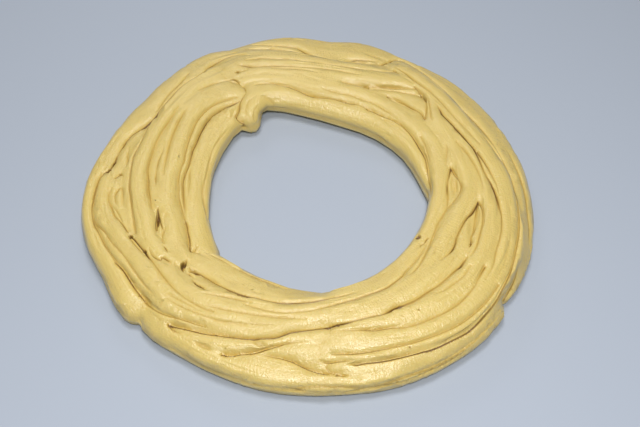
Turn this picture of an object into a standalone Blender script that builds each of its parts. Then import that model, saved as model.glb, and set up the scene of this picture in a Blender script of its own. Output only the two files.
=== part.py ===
"""Zeppole: one large ring of raw choux dough, piped through a star nozzle in several ridged ropes.

The ropes lie side by side and over one another. Each is a flattened, grooved section swept along its
own route, and all of them are fused with a low bed of dough that closes the gaps underneath.
Units are metres, +Z is up, and the ring rests on z = 0 with its bounding box centred on the origin.
"""

import bpy
import bmesh
import math
import numpy as np

MM = 0.001
ROPE_DEPTH = 15.0  # mm, thickness of a rope as it leaves the nozzle
GROOVE_DEPTH = 1.4  # mm, how deep the nozzle's teeth cut beside a full lobe
FULL_LOBE = 8.0  # mm, a narrower lobe has a shallower groove
SQUASH = 2.3  # exponent of the flattened section: 2 is an ellipse, more is boxier
SECTION_STEP = 7.8  # mm between sections along a rope
LIP_ANGLE = 28.0  # degrees below the widest point where the lowest groove runs
BED_STEP = 10.0  # degrees between sections of the bed
BED_TOP = 12.5  # mm
BED_INSET = 7.0  # mm, how far the bed stays inside the ring's two edges
DOUGH_COLOR = (0.72, 0.55, 0.205, 1.0)

# The ring's own edges: (angle, inner radius, outer radius), degrees anticlockwise from +X and mm.
EDGES = (
    (0, 66, 128), (30, 66, 128), (60, 64, 129), (90, 65, 130), (107, 76, 130), (122, 72, 130), (150, 59, 129),
    (180, 57, 129), (210, 61, 126), (240, 69, 127), (270, 74, 131), (300, 75, 133), (330, 68, 131),
)

# Each rope: grooves as shares of its width, length of the rounded start and end in mm, and its route.
# A route point is (angle, radius, height of the crest, width): degrees anticlockwise from +X, mm.
ROPES = {
    "outer_left": ((0, 0.35, 0.68, 1), (9, 9), (
        (226, 122, 12, 14), (219, 121.5, 13.5, 14), (210, 120.5, 14, 11), (200, 122.5, 14.5, 10),
        (190, 124, 14.5, 9.5), (181, 123, 15, 10), (173, 120.5, 15, 13), (164, 117.5, 15.5, 15.5),
        (155, 115.5, 16, 18), (145, 114.8, 16, 18.5), (136, 117.5, 16, 19), (124, 122, 15.5, 20),
        (117, 122.5, 15, 19), (111.5, 121.5, 13.5, 15))),
    "outer_far": ((0, 0.3, 0.62, 1), (9, 9), (
        (121, 120.5, 12, 13), (116, 122.5, 13.5, 16), (110, 123, 14.3, 17), (103, 123, 15, 18),
        (95, 121.5, 15.5, 20), (84, 117.5, 13.5, 24), (74, 118, 14.5, 26), (62, 116, 13, 26),
        (45, 115.5, 12.5, 26), (28, 114.5, 12, 26), (10, 115, 12, 26), (-6, 115.5, 12, 26),
        (-20, 117.5, 12, 26), (-30, 119.5, 12, 23), (-39, 120.5, 11, 18))),
    "outer_near": ((0, 0.55, 0.85, 1), (8, 12), (
        (323, 123.5, 12, 20), (312, 124.5, 13, 22), (300, 125.5, 13.5, 20), (290, 126, 13.5, 18),
        (280, 125.5, 13.5, 15), (270, 124.5, 13.5, 14), (260, 123.5, 13.5, 14), (250, 121.5, 13.5, 14),
        (241, 119.5, 13.5, 15), (233, 118, 13, 18), (224, 118, 12, 17))),
    "tongue": ((0, 0.5, 1), (8, 12), (
        (278, 108, 17.5, 12), (270, 109, 18.5, 17), (262, 109.8, 18, 12.5), (255, 112.3, 17, 9.5),
        (248, 116, 16, 9), (241, 118.8, 15, 8), (234, 119.5, 14, 5))),
    "left_inner": ((0, 0.25, 0.55, 0.83, 1), (8, 8), (
        (226, 76, 12, 16), (214, 71.5, 14, 15), (202, 68, 15, 15), (190, 65.5, 15, 16),
        (176, 65, 15, 16), (162, 66.5, 15, 17), (148, 70, 15.5, 19), (135, 74, 15.5, 19), (122, 77, 15, 17))),
    "left_mid": ((0, 0.14, 0.55, 1), (9, 10), (
        (223, 84.5, 17, 15), (214, 84.3, 17.5, 16.5), (206, 81.5, 18, 13.5), (198, 79.8, 18, 12.5),
        (191, 81.3, 18, 17.5), (172, 82, 18, 20), (158, 84.3, 18.5, 20), (145, 89.5, 19, 19),
        (132, 91.5, 19, 18), (118, 91, 18, 17))),
    "left_top": ((0, 0.5, 1), (7, 10), (
        (221, 92.5, 18, 10), (212, 95.5, 19, 13.5), (205, 96.5, 19, 12), (198, 94.5, 19, 14.5),
        (186, 96.5, 19.5, 13.5), (172, 98, 19.5, 12.5), (158, 99.7, 19.5, 12), (145, 103, 19.5, 13),
        (132, 107.5, 19.5, 14), (120, 110, 19, 16))),
    "left_rough": ((0, 0.4, 1), (6, 12), (
        (203, 107, 15.5, 8), (192, 108, 15.5, 10), (181, 109.5, 15, 12), (169, 108, 15, 10),
        (156, 105, 14.5, 6))),
    "near_left": ((0, 0.25, 0.6, 1), (8, 22), (
        (220, 80.5, 15, 14), (227, 79, 15.5, 19), (236, 77.5, 16, 17.5), (244, 77.5, 16, 15.5),
        (256, 78.5, 16, 13.5), (268, 79.5, 16, 10), (282, 79.5, 15, 8))),
    "near_band": ((0, 0.2, 0.42, 0.72, 1), (4, 30), (
        (42, 96, 17.5, 5), (35, 91.5, 19, 12), (26, 90.5, 19.5, 13), (16, 89.5, 19.5, 13),
        (6, 88.5, 20, 13), (-6, 90.5, 20, 11), (-16, 87, 20.5, 13), (-28, 84.8, 21, 12.5),
        (-42, 86.5, 21, 14), (-58, 91, 21.5, 14.5), (-75, 91.3, 21.5, 15), (-90, 90.8, 21, 17.5),
        (-101, 95.3, 20.5, 22.5), (-114, 98.5, 20, 27), (-126, 104.8, 20, 27), (-136, 104.8, 20, 22.5),
        (-146, 107.4, 19.5, 15.7), (-156, 111.3, 19, 15), (-168, 117, 17.5, 11.5), (-179, 117, 17, 9),
        (-189, 114, 16, 6), (-196, 111, 15, 3))),
    "right_fill": ((0, 1), (6, 14), (
        (-9, 95.5, 16, 5), (-17, 95, 17.5, 8), (-27, 95.5, 19, 10), (-38, 96.5, 20.5, 11),
        (-50, 97, 21.5, 10), (-62, 97, 21.5, 8), (-76, 97, 21, 6))),
    "right_rise": ((0, 0.45, 1), (5, 9), (
        (42, 97.5, 18.5, 5), (30, 94.5, 20, 9), (16, 95.5, 20.5, 10), (2, 100, 21, 10), (-12, 103, 21.5, 12),
        (-28, 107, 22, 14), (-44, 109, 22, 15), (-60, 107, 22, 14.5), (-74, 104, 21.5, 12),
        (-84, 102.5, 20.5, 9))),
    "right_top": ((0, 0.34, 0.66, 1), (6, 8), (
        (62, 113.5, 18, 14), (52, 109.5, 20, 13), (38, 105, 21, 12.5), (24, 103, 21, 12.5),
        (10, 107.5, 21, 13), (-4, 111.5, 21, 13), (-18, 117, 21, 13.5), (-32, 121, 21, 14.5),
        (-48, 122.5, 21, 15), (-64, 120.5, 20.5, 16.5), (-76, 116, 20, 17), (-86, 111, 19, 16))),
    "far_base": ((0, 0.5, 1), (8, 8), (
        (73, 88, 15, 12), (60, 90, 16, 14), (48, 91.5, 16.5, 15), (38, 92, 16.5, 14), (30, 91, 16, 10))),
    "far_mid": ((0, 0.35, 0.7, 1), (9, 14), (
        (118, 93, 18.5, 10), (112, 91.5, 19, 11), (105, 88, 19, 12.5), (97, 83.5, 19.5, 15.5),
        (90, 79.5, 19.5, 18), (82, 76.5, 19.3, 18), (70, 75.3, 18.5, 17), (56, 75.5, 18.5, 17),
        (42, 77, 18.5, 15.5), (26, 77.5, 18.5, 14), (10, 77, 18.5, 13), (-6, 76, 18.5, 12),
        (-20, 76, 18.5, 11), (-34, 76, 18.5, 9.5), (-48, 78, 18.5, 9.5), (-62, 80.5, 18.5, 10),
        (-74, 80.5, 18, 9), (-86, 80.5, 17, 7))),
    "far_top": ((0, 0.36, 0.66, 1), (10, 8), (
        (122, 102, 19, 22), (112, 103, 20, 23), (102, 98.5, 20.5, 24), (92, 95.5, 20.5, 20),
        (80, 94.5, 20.5, 20), (68, 95.5, 20.5, 20), (58, 99, 20, 14), (50, 100.5, 19, 9), (44, 101, 18, 4))),
    "far_bright": ((0, 1), (8, 14), (
        (119, 120, 17, 7), (112, 117, 17.5, 7), (105, 113.5, 18, 7.5), (98, 110, 18, 7.5), (90, 105.5, 18, 6),
        (84, 103.5, 18, 4), (78, 103, 17.5, 3))),
    "far_inner": ((0, 0.3, 0.62, 1), (7, 22), (
        (120.5, 61.5, 13, 10), (122, 66, 15.5, 15), (120.8, 72, 17.5, 16), (116.5, 77.5, 19, 16.5),
        (111, 80, 18, 17), (103, 77.8, 16.5, 17), (96, 74.4, 16, 17.5),
        (88, 70.4, 16, 17.5), (79, 67.9, 16, 17.5), (68, 66.9, 15.5, 17.5), (54, 67.4, 15, 16.5),
        (40, 68.2, 15, 15), (26, 69, 15, 13), (12, 70, 14, 11), (0, 72, 13, 9), (-10, 74, 12, 6))),
    "near_knot": ((0, 1), (5, 6), (
        (232, 89.5, 15, 6), (225, 90, 16, 8), (218, 89.5, 17, 8), (212, 90, 17, 5))),
}


def smooth_route(points, step):
    """Stations at even distances along a Catmull-Rom curve: x, y, crest height, width."""
    points = np.array(points, dtype=float)
    angle = np.radians(points[:, 0])
    knots = np.column_stack((points[:, 1] * np.cos(angle), points[:, 1] * np.sin(angle), points[:, 2:]))
    knots = np.vstack((2 * knots[0] - knots[1], knots, 2 * knots[-1] - knots[-2]))
    share = np.linspace(0, 1, 24, endpoint=False)[:, None]
    curve = []
    for a, b, c, d in zip(knots, knots[1:], knots[2:], knots[3:]):
        bend = (2 * a - 5 * b + 4 * c - d) * share**2 + (3 * b - a - 3 * c + d) * share**3
        curve.append(0.5 * (2 * b + (c - a) * share + bend))
    curve = np.vstack(curve + [knots[-2][None]])
    travel = np.hypot(*np.diff(curve[:, :2], axis=0).T)
    travel = np.concatenate(([0.0], np.cumsum(travel)))
    count = max(3, round(travel[-1] / step))
    stations = np.linspace(0, travel[-1], count + 1)
    return stations, np.column_stack([np.interp(stations, travel, column) for column in curve.T])


def rope_section(grooves):
    """Unit outline of a rope: angles (0 inner side, 90 crest, 180 outer side), lobe heights from 0 to 1
    and each lobe's share of the width."""
    across = 1 - 2 * np.array(grooves, dtype=float)
    tops = np.degrees(np.arccos(np.sign(across) * np.abs(across) ** (SQUASH / 2)))
    valleys = [-LIP_ANGLE, *tops, 180 + LIP_ANGLE]
    shares = [0.25, *np.diff(grooves), 0.25]
    angles, lobes, spans = [], [], []
    for start, end, share in zip(valleys, valleys[1:], shares):
        pieces = 2 if end - start < 45 else 3
        for index in range(pieces):
            turn = math.pi * index / pieces
            angles.append(start + (end - start) * (1 - math.cos(turn)) / 2)
            lobes.append(math.sin(turn))
            spans.append(share)
    angles += [180 + LIP_ANGLE, 235, 270, 305]
    lobes += [0, 0.8, 0.8, 0.8]
    spans += [0.25] * 4
    return np.radians(angles), np.array(lobes), np.array(spans)


def rope_object(name, grooves, tapers, points, collection):
    """A rope of dough: the grooved section swept along its route, with a rounded start and end."""
    stations, route = smooth_route(points, SECTION_STEP)
    along = np.gradient(route[:, :2], axis=0)
    along /= np.linalg.norm(along, axis=1)[:, None]
    outward = np.column_stack((along[:, 1], -along[:, 0]))
    if np.sum(outward * route[:, :2]) < 0:
        outward = -outward
    angles, lobes, spans = rope_section(grooves)
    cosine, sine = -np.cos(angles), np.sin(angles)
    side = np.sign(cosine) * np.abs(cosine) ** (2 / SQUASH)
    rise = np.sign(sine) * np.abs(sine) ** (2 / SQUASH)

    mesh = bmesh.new()
    rings = []
    for distance, (x, y, crest, width), out in zip(stations, route, outward):
        start = min(1.0, (distance + 0.4) / tapers[0])
        end = min(1.0, (stations[-1] - distance + 0.4) / tapers[1])
        size = math.sqrt(1 - (1 - start) ** 2) * math.sqrt(1 - (1 - end) ** 2)
        half_width = width / 2 * size
        half_depth = ROPE_DEPTH / 2 * size
        centre = crest - ROPE_DEPTH / 2
        cut = GROOVE_DEPTH * size * (1 - lobes) * np.minimum(1, spans * width / FULL_LOBE)
        across = side * half_width - cut * cosine
        height = np.maximum(centre + rise * half_depth - cut * sine, 0.0)
        rings.append([
            mesh.verts.new(((x + out[0] * a) * MM, (y + out[1] * a) * MM, h * MM))
            for a, h in zip(across, height)
        ])
    for ring, following in zip(rings, rings[1:]):
        for index in range(len(ring)):
            other = (index + 1) % len(ring)
            mesh.faces.new((ring[index], ring[other], following[other], following[index]))
    mesh.faces.new(rings[0])
    mesh.faces.new(rings[-1])
    bmesh.ops.recalc_face_normals(mesh, faces=mesh.faces)
    data = bpy.data.meshes.new(name)
    mesh.to_mesh(data)
    mesh.free()
    rope = bpy.data.objects.new(name, data)
    collection.objects.link(rope)
    return rope


def bed_object():
    """The low bed of dough under the ropes: a closed ring with a flat underside."""
    angles = np.arange(0, 360, BED_STEP)
    edge = np.array(EDGES, dtype=float)
    inner = np.interp(angles, edge[:, 0], edge[:, 1], period=360) + BED_INSET
    outer = np.interp(angles, edge[:, 0], edge[:, 2], period=360) - BED_INSET
    mesh = bmesh.new()
    rings = []
    for angle, near, far in zip(np.radians(angles), inner, outer):
        corners = ((near, 0), (far, 0), (far, BED_TOP * 0.7), (far - 6, BED_TOP), (near + 6, BED_TOP),
                   (near, BED_TOP * 0.7))
        rings.append([
            mesh.verts.new((r * math.cos(angle) * MM, r * math.sin(angle) * MM, z * MM)) for r, z in corners
        ])
    for ring, following in zip(rings, rings[1:] + rings[:1]):
        for index in range(len(ring)):
            other = (index + 1) % len(ring)
            mesh.faces.new((ring[index], ring[other], following[other], following[index]))
    bmesh.ops.recalc_face_normals(mesh, faces=mesh.faces)
    data = bpy.data.meshes.new("dough_ring")
    mesh.to_mesh(data)
    mesh.free()
    bed = bpy.data.objects.new("dough_ring", data)
    bpy.context.scene.collection.objects.link(bed)
    return bed


def fuse(body, collection):
    """Unite the body with every object of the collection, and remove those objects."""
    union = body.modifiers.new("fuse ropes", "BOOLEAN")
    union.operation = "UNION"
    union.operand_type = "COLLECTION"
    union.collection = collection
    union.solver = "MANIFOLD"
    fused = bpy.data.meshes.new_from_object(body.evaluated_get(bpy.context.evaluated_depsgraph_get()))
    body.modifiers.clear()
    body.data = fused
    fused.name = body.name
    for rope in list(collection.objects):
        bpy.data.objects.remove(rope)
    bpy.data.collections.remove(collection)


def keep_outer_skin(body):
    """Drop sealed hollows and loose scraps: only the largest connected surface stays."""
    mesh = bmesh.new()
    mesh.from_mesh(body.data)
    bmesh.ops.remove_doubles(mesh, verts=mesh.verts, dist=0.01 * MM)
    bmesh.ops.triangulate(mesh, faces=mesh.faces)
    mesh.verts.ensure_lookup_table()
    seen = set()
    groups = []
    for vertex in mesh.verts:
        if vertex.index in seen:
            continue
        group, stack = [], [vertex]
        seen.add(vertex.index)
        while stack:
            current = stack.pop()
            group.append(current)
            for edge in current.link_edges:
                other = edge.other_vert(current)
                if other.index not in seen:
                    seen.add(other.index)
                    stack.append(other)
        groups.append(group)
    groups.sort(key=len)
    for group in groups[:-1]:
        bmesh.ops.delete(mesh, geom=group, context="VERTS")
    mesh.to_mesh(body.data)
    mesh.free()


def dough_material():
    """Pale yellow raw choux dough."""
    material = bpy.data.materials.new("choux_dough")
    material.use_nodes = True
    shader = material.node_tree.nodes["Principled BSDF"]
    shader.inputs["Base Color"].default_value = DOUGH_COLOR
    shader.inputs["Roughness"].default_value = 0.4
    shader.inputs["Metallic"].default_value = 0.0
    return material


def main():
    for thing in list(bpy.data.objects):
        bpy.data.objects.remove(thing)
    ropes = bpy.data.collections.new("ropes")
    bpy.context.scene.collection.children.link(ropes)
    for name, (grooves, tapers, points) in ROPES.items():
        rope_object(name, grooves, tapers, points, ropes)
    ring = bed_object()
    fuse(ring, ropes)
    keep_outer_skin(ring)
    places = np.array([vertex.co for vertex in ring.data.vertices])
    middle = (places.min(axis=0) + places.max(axis=0)) / 2
    for vertex in ring.data.vertices:
        vertex.co.x -= middle[0]
        vertex.co.y -= middle[1]
    ring.data.materials.clear()
    ring.data.materials.append(dough_material())
    ring.data.shade_smooth()
    ring.data.set_sharp_from_angle(angle=math.radians(40))


main()
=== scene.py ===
"""A ring of raw choux dough for a large zeppola, on a plain pale table.

The dough is one soft body. Every piped rope is swept along its route, all ropes are melted into one skin,
and then the skin gets its creases, slits, pits, streaks and fine ripples, and painted shade in its hollows
and creases.
Lengths are millimetres up to the point where the skin is scaled, and metres for the studio.
Angles are degrees anticlockwise from +X.
"""

import bpy
import itertools
import math
import numpy as np
from mathutils import Matrix, Vector


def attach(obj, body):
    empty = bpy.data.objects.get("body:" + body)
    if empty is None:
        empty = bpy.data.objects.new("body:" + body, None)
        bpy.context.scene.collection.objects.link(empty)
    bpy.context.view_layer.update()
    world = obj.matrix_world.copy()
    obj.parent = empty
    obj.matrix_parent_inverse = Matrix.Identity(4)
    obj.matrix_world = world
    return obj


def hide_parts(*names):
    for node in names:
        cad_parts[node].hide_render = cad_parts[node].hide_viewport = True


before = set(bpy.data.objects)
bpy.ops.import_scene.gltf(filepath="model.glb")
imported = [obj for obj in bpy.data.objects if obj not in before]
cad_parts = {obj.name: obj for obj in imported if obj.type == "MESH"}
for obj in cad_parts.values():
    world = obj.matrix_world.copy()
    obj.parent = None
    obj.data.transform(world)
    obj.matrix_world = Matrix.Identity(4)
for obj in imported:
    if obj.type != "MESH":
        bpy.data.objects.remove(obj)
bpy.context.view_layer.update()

MM = 0.001

# The ropes, and the low bed of dough under them.
ROPE_DEPTH = 15.0  # thickness of a rope
SQUASH = 2.15  # exponent of the flattened section: 2 is an ellipse, more is boxier
FULLNESS = 1.06  # how much wider the soft ropes are than the space between their creases
SPAN_SAMPLES = 24  # of a route's curve, between two of its points
SECTION_STEP = 1.5  # between a rope's sections
SECTION_TURN = 10.0  # degrees between the points of a section
BLUNT_END = 0.4  # what a rope's rounded end lacks, so that it is not a single point
BED_TOP = 12.5
BED_SHOULDER = 0.7 * BED_TOP  # above it the bed's sides lean inwards
BED_BEVEL = 6.0  # how far they lean in
BED_INSET = 7.0  # how far the bed stays inside the ring's two edges
BED_TURN = 4.0  # degrees between the bed's sections

# The melted skin. The last five are rounds of smoothing, or how often it is done.
COARSE_CELL = 0.85  # spacing of the melted skin's points, before it is halved
FOOT = 0.4  # what is lower than this lies flat on the table
SKIN_TRIANGLES = 197000
FOLDED = 0.15  # a face that turns further than this from its surroundings, as a cosine, is folded over
SOFTENING = 6  # takes away the steps of the cells
FILL_PASSES = 4  # of filling the gaps between ropes
FILL_ROUNDS = 8  # in each pass
EASING = 4  # after the ropes are pressed
UNFOLDING = 6

# The smooth dome over the whole ring, towards which the ropes are pressed.
RING_LOW = 6.0  # only what is higher counts as the body of the ring
DOME_EDGE = 8.0  # height of the dome beyond that body
DOME_BLUR = 8.0
DOME_LIFT = 0.5  # over the ropes' mean height
RIM_BLUR = 5.0  # the ropes next to the edges keep their own height, within about this distance
PRESSING = 0.65  # share of the way to the dome

# Maps of the ring from above.
MAP_CELL = 0.25  # spacing
MAP_HALF = 140.0  # how far they reach from the centre
SIDE_REACH = 1.3  # how far beside its route a rope is mapped, in half widths
SIDE_SAMPLES = 155
OWNER_BLUR = 1.0  # of a rope's height, before it is compared with the others

# Creases and pits.
CREASE_DEPTH = 2.8  # of a wide crease of full strength
WIDE_HALF = 1.6  # narrower creases are less deep
CUT_LEAST, CUT_SHARE = 0.4, 0.36  # half width of the cut: a base, and a share of the crease's own
# Half width of the line of painted shade along a crease:
SHADE_LEAST, SHADE_SHARE = 0.39, 0.12  # half width of the dark line, likewise
VALLEY_SHARE = 0.7  # depth of the soft valley along a crease
VALLEY_BLUR = 1.4
PIT_REACH = 1.5  # half side of the square in which a pit is cut, in half lengths
PIT_RIM = 1.2  # square of where a pit's slope ends, in its own half size

# Random relief: height, cell sizes and seed. Those of a rope are across it, along it and for its number.
STREAKS = ((0.45, (3.3, 90, 1), 14), (0.25, (1.9, 60, 1), 5), (0.10, (1.0, 30, 1), 6))
RIPPLES = ((0.06, (3, 1.4, 1), 7),)
LUMPS = ((0.16, (11, 11, 11), 8), (0.04, (2.2, 2.2, 2.2), 9))
WALL_WAVES = ((1.1, (16, 16, 50), 10),)  # how far the wall's grooves wander up and down
TEETH = ((0.22, (1.5, 1.5, 9), 11),)  # the nozzle's marks on the outer side of the near rope
PLUMPING = 0.5  # how much the top swells between its creases
LINE_PATH = ((3.4, 75, 1), 12)  # fine lines run where this noise is 0
LINE_GAPS = ((7, 22, 1), 13)  # and fade where this one is low
LINE_WIDTH = 0.11
LINE_DEPTH = 0.3
# Painted shade along the fine lines.
LINE_SHADE = 0.1

# Grooves along the ring's walls: depth, height of the middle and half width.
WALL_GROOVES = ((1.0, 7.6, 0.9), (0.5, 3.4, 0.6))
HOLE_GROOVE = (1.0, 9.0, 1.1)
HOLE_WALL = 74  # the hole's own groove lies within this radius, on the far part of the ring
UNDERCUT = 2.0
UNDERCUT_TOP = 2.4

# Colours of the dough: its own colour, and painted shade for its hollows, its creases and their cores.
CRUST = (0.725, 0.555, 0.178, 1)
HOLLOW_SHADE = (0.63, 0.42, 0.08, 1)
CREASE_SHADE = (0.45, 0.285, 0.055, 1)
CREASE_DEEP_SHADE = (0.15, 0.075, 0.014, 1)
HOLLOW_ROUNDS = 36  # of averaging, which shows what lies lower than its surroundings
# Painted shade: what lies this much lower gets the full warm shade colour of the hollows.
WARM_SUNK = 0.9  # what lies this much lower has the hollows' colour

# The studio, in metres and watts. Each lamp: name, place, size and power.
TABLE_HALF = 2.0
TABLE_GAP = 0.0002
TABLE_COLOR = (0.42, 0.47, 0.56, 1)
LAMPS = (
    ("front", (0.03, -0.42, 0.66), 0.12, 3.3),
    ("above", (0.0, 0.05, 1.10), 0.40, 4.9),
    ("behind", (-0.15, 0.60, 0.42), 0.25, 0.5),
)
WORLD_COLOR = (1, 0.96, 0.86, 1)
WORLD_STRENGTH = 0.20
CAMERA_PLACE = (0.007, -0.363, 0.419)
CAMERA_TILT = 40
CAMERA_LENS = 53.3
CAMERA_SENSOR = 36

# The ring's own edges: (angle, inner radius, outer radius).
EDGES = (
    (0, 66, 128), (30, 66, 128), (60, 64, 129), (90, 65, 130), (107, 76, 130), (122, 72, 130), (150, 59, 129),
    (180, 57, 129), (210, 61, 126), (240, 69, 127), (270, 74, 131), (300, 75, 133), (330, 68, 131),
)

# Each rope: lengths of its rounded start and end, and its route.
# A route point is (angle, radius, height of the crest, width).
ROPES = {
    "outer_left": ((9, 9), (
        (226, 122, 12, 14), (219, 121.5, 13.5, 14), (210, 120.5, 14, 11), (200, 122.5, 14.5, 10),
        (190, 124, 14.5, 9.5), (181, 123, 15, 10), (173, 120.5, 15, 13), (164, 117.5, 15.5, 15.5),
        (155, 115.5, 16, 18), (145, 114.8, 16, 18.5), (136, 117.5, 16, 19), (124, 122, 15.5, 20),
        (117, 122.5, 15, 19), (111.5, 121.5, 13.5, 15))),
    "outer_far": ((9, 9), (
        (121, 120.5, 12, 13), (116, 122.5, 13.5, 16), (110, 123, 14.3, 17), (103, 123, 15, 18),
        (95, 121.5, 15.5, 20), (84, 117.5, 13.5, 24), (74, 118, 14.5, 26), (62, 116, 13, 26),
        (45, 115.5, 12.5, 26), (28, 114.5, 12, 26), (10, 115, 12, 26), (-6, 115.5, 12, 26),
        (-20, 117.5, 12, 26), (-30, 119.5, 12, 23), (-39, 120.5, 11, 18))),
    "outer_near": ((8, 12), (
        (323, 123.5, 12, 20), (312, 124.5, 13, 22), (300, 125.5, 13.5, 20), (290, 126, 13.5, 18),
        (280, 125.5, 13.5, 15), (270, 124.5, 13.5, 14), (260, 123.5, 13.5, 14), (250, 121.5, 13.5, 14),
        (241, 119.5, 13.5, 15), (233, 118, 13, 18), (224, 118, 12, 17))),
    "tongue": ((8, 12), (
        (278, 108, 17.5, 12), (270, 109, 18.5, 17), (262, 109.8, 18, 12.5), (255, 112.3, 17, 9.5),
        (248, 116, 16, 9), (241, 118.8, 15, 8), (234, 119.5, 14, 5))),
    "left_inner": ((8, 8), (
        (226, 76, 12, 16), (214, 71.5, 14, 15), (202, 68, 15, 15), (190, 65.5, 15, 16),
        (176, 65, 15, 16), (162, 66.5, 15, 17), (148, 70, 15.5, 19), (135, 74, 15.5, 19), (122, 77, 15, 17))),
    "left_mid": ((9, 10), (
        (223, 84.5, 17, 15), (214, 84.3, 17.5, 16.5), (206, 81.5, 18, 13.5), (198, 79.8, 18, 12.5),
        (191, 81.3, 18, 17.5), (172, 82, 18, 20), (158, 84.3, 18.5, 20), (145, 89.5, 19, 19),
        (132, 91.5, 19, 18), (118, 91, 18, 17))),
    "left_top": ((7, 10), (
        (221, 92.5, 18, 10), (212, 95.5, 19, 13.5), (205, 96.5, 19, 12), (198, 94.5, 19, 14.5),
        (186, 96.5, 19.5, 13.5), (172, 98, 19.5, 12.5), (158, 99.7, 19.5, 12), (145, 103, 19.5, 13),
        (132, 107.5, 19.5, 14), (120, 110, 19, 16))),
    "left_rough": ((6, 12), (
        (203, 107, 15.5, 8), (192, 108, 15.5, 10), (181, 109.5, 15, 12), (169, 108, 15, 10),
        (156, 105, 14.5, 6))),
    "near_left": ((8, 22), (
        (220, 80.5, 15, 14), (227, 79, 15.5, 19), (236, 77.5, 16, 17.5), (244, 77.5, 16, 15.5),
        (256, 78.5, 16, 13.5), (268, 79.5, 16, 10), (282, 79.5, 15, 8))),
    "near_band": ((4, 30), (
        (42, 96, 17.5, 5), (35, 91.5, 19, 12), (26, 90.5, 19.5, 13), (16, 89.5, 19.5, 13),
        (6, 88.5, 20, 13), (-6, 90.5, 20, 11), (-16, 87, 20.5, 13), (-28, 84.8, 21, 12.5),
        (-42, 86.5, 21, 14), (-58, 91, 21.5, 14.5), (-75, 91.3, 21.5, 15), (-90, 90.8, 21, 17.5),
        (-101, 95.3, 20.5, 22.5), (-114, 98.5, 20, 27), (-126, 104.8, 20, 27), (-136, 104.8, 20, 22.5),
        (-146, 107.4, 19.5, 15.7), (-156, 111.3, 19, 15), (-168, 117, 17.5, 11.5), (-179, 117, 17, 9),
        (-189, 114, 16, 6), (-196, 111, 15, 3))),
    "right_fill": ((6, 14), (
        (-9, 95.5, 16, 5), (-17, 95, 17.5, 8), (-27, 95.5, 19, 10), (-38, 96.5, 20.5, 11),
        (-50, 97, 21.5, 10), (-62, 97, 21.5, 8), (-76, 97, 21, 6))),
    "right_rise": ((5, 9), (
        (42, 97.5, 18.5, 5), (30, 94.5, 20, 9), (16, 95.5, 20.5, 10), (2, 100, 21, 10), (-12, 103, 21.5, 12),
        (-28, 107, 22, 14), (-44, 109, 22, 15), (-60, 107, 22, 14.5), (-74, 104, 21.5, 12),
        (-84, 102.5, 20.5, 9))),
    "right_top": ((6, 8), (
        (62, 113.5, 18, 14), (52, 109.5, 20, 13), (38, 105, 21, 12.5), (24, 103, 21, 12.5),
        (10, 107.5, 21, 13), (-4, 111.5, 21, 13), (-18, 117, 21, 13.5), (-32, 121, 21, 14.5),
        (-48, 122.5, 21, 15), (-64, 120.5, 20.5, 16.5), (-76, 116, 20, 17), (-86, 111, 19, 16))),
    "far_base": ((8, 8), (
        (73, 88, 15, 12), (60, 90, 16, 14), (48, 91.5, 16.5, 15), (38, 92, 16.5, 14), (30, 91, 16, 10))),
    "far_mid": ((9, 14), (
        (118, 93, 18.5, 10), (112, 91.5, 19, 11), (105, 88, 19, 12.5), (97, 83.5, 19.5, 15.5),
        (90, 79.5, 19.5, 18), (82, 76.5, 19.3, 18), (70, 75.3, 18.5, 17), (56, 75.5, 18.5, 17),
        (42, 77, 18.5, 15.5), (26, 77.5, 18.5, 14), (10, 77, 18.5, 13), (-6, 76, 18.5, 12),
        (-20, 76, 18.5, 11), (-34, 76, 18.5, 9.5), (-48, 78, 18.5, 9.5), (-62, 80.5, 18.5, 10),
        (-74, 80.5, 18, 9), (-86, 80.5, 17, 7))),
    "far_top": ((10, 8), (
        (122, 102, 19, 22), (112, 103, 20, 23), (102, 98.5, 20.5, 24), (92, 95.5, 20.5, 20),
        (80, 94.5, 20.5, 20), (68, 95.5, 20.5, 20), (58, 99, 20, 14), (50, 100.5, 19, 9), (44, 101, 18, 4))),
    "far_bright": ((8, 14), (
        (119, 120, 17, 7), (112, 117, 17.5, 7), (105, 113.5, 18, 7.5), (98, 110, 18, 7.5), (90, 105.5, 18, 6),
        (84, 103.5, 18, 4), (78, 103, 17.5, 3))),
    "far_inner": ((7, 22), (
        (120.5, 61.5, 13, 10), (122, 66, 15.5, 15), (120.8, 72, 17.5, 16), (116.5, 77.5, 19, 16.5),
        (111, 80, 18, 17), (103, 77.8, 16.5, 17), (96, 74.4, 16, 17.5),
        (88, 70.4, 16, 17.5), (79, 67.9, 16, 17.5), (68, 66.9, 15.5, 17.5), (54, 67.4, 15, 16.5),
        (40, 68.2, 15, 15), (26, 69, 15, 13), (12, 70, 14, 11), (0, 72, 13, 9), (-10, 74, 12, 6))),
    "near_knot": ((5, 6), (
        (232, 89.5, 15, 6), (225, 90, 16, 8), (218, 89.5, 17, 8), (212, 90, 17, 5))),
}
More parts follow.
